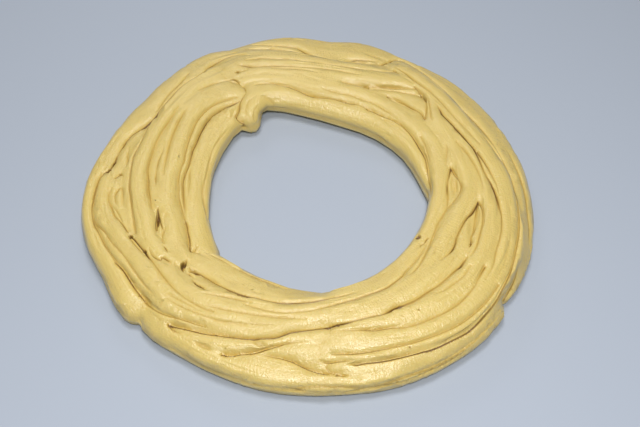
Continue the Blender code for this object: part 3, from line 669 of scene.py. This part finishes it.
def cut_crease(depth, painted_shade_map, half, line):
    """Adds one crease to the maps: a V that is deepest in the middle, and a line of painted shade along it.
    """
    _, route = smooth_route(line, MAP_CELL)
    reach = int(math.ceil(half / MAP_CELL)) + 1
    offsets = np.arange(-reach, reach + 1)
    step_x, step_y = [grid.ravel() for grid in np.meshgrid(offsets, offsets, indexing="ij")]
    place = (route[:, :2] + MAP_HALF) / MAP_CELL
    cell = np.round(place).astype(int)
    index_x = cell[:, 0, None] + step_x
    index_y = cell[:, 1, None] + step_y
    away = np.hypot(index_x - place[:, 0, None], index_y - place[:, 1, None]) * MAP_CELL
    strength = route[:, 2, None] / 10
    deepest = CREASE_DEPTH * min(1.0, half / WIDE_HALF) ** 0.5
    cut_half = CUT_LEAST + CUT_SHARE * half
    shade_half = SHADE_LEAST + SHADE_SHARE * half
    np.maximum.at(depth, (index_x, index_y), deepest * strength * np.clip(1 - away / cut_half, 0, 1))
    np.maximum.at(painted_shade_map, (index_x, index_y), strength * np.clip(1.5 - 1.5 * away / shade_half, 0, 1))


def cut_pit(depth, painted_shade_map, angle, radius, length, width, turn, pit_depth, pit_shade):
    """Adds one oval pit or bump to the maps, and the painted shade in a pit."""
    axis = np.arange(len(depth)) * MAP_CELL - MAP_HALF
    angle = math.radians(angle)
    x, y = radius * math.cos(angle), radius * math.sin(angle)
    reach = PIT_REACH * length
    part = tuple(slice(*np.searchsorted(axis, (middle - reach, middle + reach))) for middle in (x, y))
    far_x, far_y = np.meshgrid(axis[part[0]] - x, axis[part[1]] - y, indexing="ij")
    along = angle + math.pi / 2 + math.radians(turn)
    u = (far_x * math.cos(along) + far_y * math.sin(along)) / length
    v = (far_y * math.cos(along) - far_x * math.sin(along)) / width
    inside = np.clip(PIT_RIM - u**2 - v**2, 0, 1)
    depth[part] += pit_depth * inside
    painted_shade_map[part] = np.maximum(painted_shade_map[part], pit_shade * inside)


def crease_maps():
    """Maps of the ring from above: depth of creases and pits in mm, and their painted shade from 0 to 1."""
    depth, painted_shade_map = empty_map(), empty_map()
    for half, line in CREASES:
        cut_crease(depth, painted_shade_map, half, line)
    valley = VALLEY_SHARE * blurred(depth, VALLEY_BLUR)
    for pit in PITS:
        cut_pit(depth, painted_shade_map, *pit)
    return depth + valley, painted_shade_map


def rope_maps():
    """Each rope's route and outward vectors, and maps of the rope on top and its nearest station."""
    best, owner, nearest = empty_map(), empty_map(kind=int), empty_map(kind=int)
    share = np.linspace(-SIDE_REACH, SIDE_REACH, SIDE_SAMPLES)
    routes = []
    for number, (_, points) in enumerate(ROPES.values()):
        _, route = smooth_route(points, MAP_CELL)
        outward = outward_of(route)
        routes.append((route, outward))
        rise = route[:, 2, None] - share**2 * ROPE_DEPTH / 2
        across = outward[:, None, :] * (share * route[:, 3, None] / 2)[:, :, None]
        cell = np.clip(cells_of(route[:, None, :2] + across), 0, len(best) - 1)
        height, station = empty_map(), empty_map(kind=int)
        np.maximum.at(height, (cell[:, :, 0], cell[:, :, 1]), rise)
        np.maximum.at(station, (cell[:, :, 0], cell[:, :, 1]), np.arange(len(route))[:, None])
        height = blurred(height, OWNER_BLUR)
        mine = (height > best) & (station > 0)
        best[mine] = height[mine]
        owner[mine] = number
        nearest[mine] = station[mine]
    return routes, owner, nearest


def stream_of(places):
    """How far each place lies across and along its own rope in mm, and that rope's number."""
    routes, owner, nearest = rope_maps()
    x, y = cells_of(places).T
    owner, nearest = owner[x, y], nearest[x, y]
    stream = np.zeros((len(places), 3))
    stream[:, 2] = owner
    for number, (route, outward) in enumerate(routes):
        chosen = owner == number
        station = nearest[chosen]
        offset = places[chosen, :2] - route[station, :2]
        along = np.column_stack((-outward[station, 1], outward[station, 0]))
        stream[chosen, 0] = np.einsum("ij,ij->i", offset, outward[station])
        stream[chosen, 1] = station * MAP_CELL + np.einsum("ij,ij->i", offset, along)
    return stream


def thin_lines(rope):
    """Where fine lines run along the ropes, from 0 to 1, with gaps where they fade out."""
    line = np.clip(1 - np.abs(lattice_noise(rope, *LINE_PATH)) / LINE_WIDTH, 0, 1)
    return line * np.clip(lattice_noise(rope, *LINE_GAPS) * 2 + 0.6, 0, 1)


def wall_cut(places, normals, stream):
    """How deep in mm the grooves, the undercut and the nozzle's teeth cut into the ring's walls."""
    height = places[:, 2]
    level = height - noise_sum(WALL_WAVES, places)
    wall = np.clip(1.2 - np.abs(normals[:, 2]) * 1.5, 0, 1)  # 1 where the skin is steep
    grooves = sum(depth * np.exp(-((level - middle) / half) ** 2) for depth, middle, half in WALL_GROOVES)
    cut = wall * (grooves + UNDERCUT * np.clip(1 - height / UNDERCUT_TOP, 0, 1))
    depth, middle, half = HOLE_GROOVE
    hole_wall = ramp(-np.hypot(places[:, 0], places[:, 1]), -HOLE_WALL, 3)
    far_part = ramp(places[:, 1], 15, 15)
    cut += depth * hole_wall * far_part * np.exp(-((level - middle) / half) ** 2)
    toothed = (stream[:, 2] == list(ROPES).index("outer_near")) * ramp(stream[:, 0], 4, 3)
    return cut + toothed * noise_sum(TEETH, places)


def set_attribute(skin, name, values):
    """Stores a number or a vector for each point of the skin."""
    kind, field = ("FLOAT_VECTOR", "vector") if values.ndim == 2 else ("FLOAT", "value")
    skin.attributes.new(name, kind, "POINT").data.foreach_set(field, values.ravel())


def dough_skin():
    """The skin with its relief and its attributes, and the painted shade at each of its points."""
    skin = melted_skin()
    edges = read_edges(skin)
    places = read_points(skin)
    normals = read_points(skin, "normal")
    depth, painted_shade_map = crease_maps()
    stream = stream_of(places)
    rope = stream * (1, 1, 3)
    # The top is what faces up, from a little above the table.
    top = ramp(places[:, 2], 2, 2) * np.clip(normals[:, 2] * 3 + 0.4, 0, 1)
    swell = noise_sum(STREAKS, rope)
    line = thin_lines(rope)
    swell = relaxed(((swell + noise_sum(RIPPLES, rope) + PLUMPING) * top)[:, None], edges, 1)[:, 0]
    swell += noise_sum(LUMPS, places) * ramp(places[:, 2], 0, 2) - LINE_DEPTH * line * top
    cut = looked_up(depth, places) * top + wall_cut(places, normals, stream)
    places = places + normals * (swell - cut)[:, None]
    places[:, 2] = np.maximum(places[:, 2], 0)
    write_points(skin, places)

    # Painted shade: a warmer colour in the hollows, and a darker colour in the creases, pits and fine lines.
    sunk = relaxed(places, edges, HOLLOW_ROUNDS) - places
    warm_shade = ramp(np.einsum("ij,ij->i", sunk, read_points(skin, "normal")), 0, WARM_SUNK)
    painted_shade = np.maximum(looked_up(painted_shade_map, places), LINE_SHADE * line) * top
    turn = np.arctan2(places[:, 1], places[:, 0])
    set_attribute(skin, "ring", np.column_stack(
        (100 * np.cos(turn), 100 * np.sin(turn), np.hypot(places[:, 0], places[:, 1]))))
    set_attribute(skin, "stream", rope)
    set_attribute(skin, "warm_shade", warm_shade)
    set_attribute(skin, "painted_shade", painted_shade)
    skin.transform(Matrix.Scale(MM, 4))
    return skin, painted_shade


def unfold(data):
    """Moves the points of the few faces that the thinning folded over to the middle of their neighbours."""
    edges = read_edges(data)
    corners = np.empty(len(data.loops), dtype=int)
    data.loops.foreach_get("vertex_index", corners)
    counts = np.empty(len(data.polygons), dtype=int)
    data.polygons.foreach_get("loop_total", counts)
    face_of = np.repeat(np.arange(len(counts)), counts)
    for _ in range(UNFOLDING):
        facing = np.empty(len(counts) * 3)
        data.polygons.foreach_get("normal", facing)
        facing = facing.reshape(-1, 3)[face_of]
        around = relaxed(read_points(data, "normal"), edges, 4)[corners]
        folded = np.zeros(len(counts), dtype=bool)
        folded[face_of[np.einsum("ij,ij->i", facing, around) < FOLDED]] = True
        chosen = np.unique(corners[folded[face_of]])
        places = read_points(data)
        places[chosen] = relaxed(places, edges, 1, 1.0)[chosen]
        write_points(data, places)


def thinned(dough, painted_shade):
    """The object's mesh with far fewer triangles, most of them kept along the creases with painted shade."""
    triangles = sum(len(face.vertices) - 2 for face in dough.data.polygons)
    smooth = dough.vertex_groups.new(name="outside the creases")
    tenths = np.round((1 - np.clip(painted_shade * 2.5, 0, 1)) * 10)
    for tenth in range(11):
        smooth.add(np.flatnonzero(tenths == tenth).tolist(), tenth / 10, "REPLACE")
    thin_out = dough.modifiers.new("thin out", "DECIMATE")
    thin_out.vertex_group = smooth.name
    thin_out.ratio = SKIN_TRIANGLES / triangles
    data = applied(dough)
    unfold(data)
    return data


def add_dough():
    """Adds the ring of dough as one piece that rides on root and stands for the plain solid."""
    skin, painted_shade = dough_skin()
    dough = placed("dough_ring_skin", skin)
    data = thinned(dough, painted_shade)
    data.materials.append(dough_material())
    data.shade_smooth()
    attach(dough, "root")
    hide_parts("dough_ring")


class Nodes:
    """Adds nodes to one material. The last five methods give the new node's output."""

    def __init__(self, material):
        material.use_nodes = True
        self.tree = material.node_tree
        self.shader = self.tree.nodes["Principled BSDF"]

    def feed(self, node, **inputs):
        """Sets the node's inputs to plain values, or links them to other nodes' outputs."""
        for name, value in inputs.items():
            socket = node.inputs[name.replace("_", " ")]
            if isinstance(value, bpy.types.NodeSocket):
                self.tree.links.new(value, socket)
            else:
                socket.default_value = value

    def add(self, kind, **inputs):
        """A new node of that kind."""
        node = self.tree.nodes.new("ShaderNode" + kind)
        self.feed(node, **inputs)
        return node

    def attribute(self, name, output="Fac"):
        """The mesh's attribute of that name."""
        node = self.add("Attribute")
        node.attribute_name = name
        return node.outputs[output]

    def noise(self, place, scale, detail, stretch=(1, 1, 1)):
        """Smooth noise at the place, stretched along its axes."""
        place = self.add("Mapping", Vector=place, Scale=stretch).outputs["Vector"]
        return self.add("TexNoise", Vector=place, Scale=scale, Detail=detail).outputs["Fac"]

    def curve(self, value, *stops):
        """The value, changed along straight lines between the stops (value, result)."""
        node = self.add("ValToRGB", Fac=value)
        elements = node.color_ramp.elements
        while len(elements) < len(stops):
            elements.new(0.5)
        for element, (position, level) in zip(elements, stops):
            element.position = position
            element.color = (level, level, level, 1)
        return node.outputs["Color"]

    def mixed(self, factor, first, second):
        """A colour between the two."""
        node = self.add("Mix")
        node.data_type = "RGBA"
        self.feed(node, Factor=factor, A=first, B=second)
        return node.outputs["Result"]

    def bump(self, height, strength, distance, **normal):
        """The normal, tilted by the height's slope."""
        node = self.add("Bump", Height=height, Strength=strength, Distance=distance, **normal)
        return node.outputs["Normal"]


def dough_material():
    """Satin raw dough with painted shade, warmer in the hollows and dark in the creases, and with fine
    streaks, ripples and grain.
    """
    material = bpy.data.materials.new("choux dough")
    nodes = Nodes(material)
    painted_shade = nodes.attribute("painted_shade")
    streaks = nodes.noise(nodes.attribute("stream", "Vector"), 1, 3, (0.35, 0.02, 1))
    ripples = nodes.noise(nodes.attribute("ring", "Vector"), 1, 1, (1.1, 1.1, 0.3))
    grain = nodes.noise(nodes.add("TexCoord").outputs["Object"], 1300, 2)

    # A streak is a thin line along the rope, where its noise passes the middle value: a groove in the bump,
    # with painted shade.
    streak_shade = nodes.curve(streaks, (0.0, 0), (0.44, 0), (0.5, 0.12), (0.56, 0), (1.0, 0))
    streak_height = nodes.curve(streaks, (0.0, 1), (0.44, 1), (0.5, 0), (0.56, 1), (1.0, 1))
    # Painted shade: the hollows get a warmer, more saturated colour.
    color = nodes.mixed(nodes.attribute("warm_shade"), CRUST, HOLLOW_SHADE)
    color = nodes.mixed(streak_shade, color, CREASE_SHADE)
    # Painted shade along the creases, and a darker painted shade in their cores.
    color = nodes.mixed(nodes.curve(painted_shade, (0.10, 0), (0.45, 0.8)), color, CREASE_SHADE)
    color = nodes.mixed(nodes.curve(painted_shade, (0.35, 0), (0.85, 1)), color, CREASE_DEEP_SHADE)

    normal = nodes.bump(ripples, 0.38, 0.6 * MM)
    normal = nodes.bump(streak_height, 0.25, 0.3 * MM, Normal=normal)
    normal = nodes.bump(grain, 0.8, 0.3 * MM, Normal=normal)

    nodes.feed(nodes.shader, Base_Color=color, Normal=normal, Coat_Normal=normal,
               Coat_Weight=nodes.curve(painted_shade, (0.06, 0.85), (0.4, 0.1)), Coat_Roughness=0.23, Roughness=0.4,
               Subsurface_Weight=0.12, Subsurface_Scale=1.2 * MM, Subsurface_Radius=(1.0, 0.6, 0.2))
    return material


def add_table():
    """Adds the plain pale table, a hair below the dough."""
    corners = [(x * TABLE_HALF, y * TABLE_HALF, 0) for x, y in ((-1, -1), (1, -1), (1, 1), (-1, 1))]
    data = bpy.data.meshes.new("table")
    data.from_pydata(corners, [], [range(4)])
    table = placed("table", data, (0, 0, -TABLE_GAP))
    material = bpy.data.materials.new("pale table")
    nodes = Nodes(material)
    nodes.feed(nodes.shader, Base_Color=TABLE_COLOR, Roughness=0.7)
    data.materials.append(material)


def add_light(name, place, size, power):
    """Adds a round soft lamp that faces the middle of the ring."""
    lamp = bpy.data.lights.new(name, "AREA")
    lamp.shape = "DISK"
    lamp.size = size
    lamp.energy = power
    light = placed(name, lamp, place)
    light.rotation_euler = (-Vector(place)).to_track_quat("-Z", "Y").to_euler()


def add_camera():
    """Adds the camera in front of the ring, looking down at it."""
    camera = placed("camera", bpy.data.cameras.new("camera"), CAMERA_PLACE)
    camera.rotation_euler = (math.radians(CAMERA_TILT), 0, 0)
    camera.data.lens = CAMERA_LENS
    camera.data.sensor_width = CAMERA_SENSOR
    bpy.context.scene.camera = camera


def set_world():
    """Gives the scene a dim warm surrounding light."""
    bpy.context.scene.view_settings.view_transform = "Standard"
    world = bpy.data.worlds.new("studio")
    world.use_nodes = True
    background = world.node_tree.nodes["Background"]
    background.inputs["Color"].default_value = WORLD_COLOR
    background.inputs["Strength"].default_value = WORLD_STRENGTH
    bpy.context.scene.world = world


add_dough()
add_table()
for lamp_values in LAMPS:
    add_light(*lamp_values)
set_world()
add_camera()
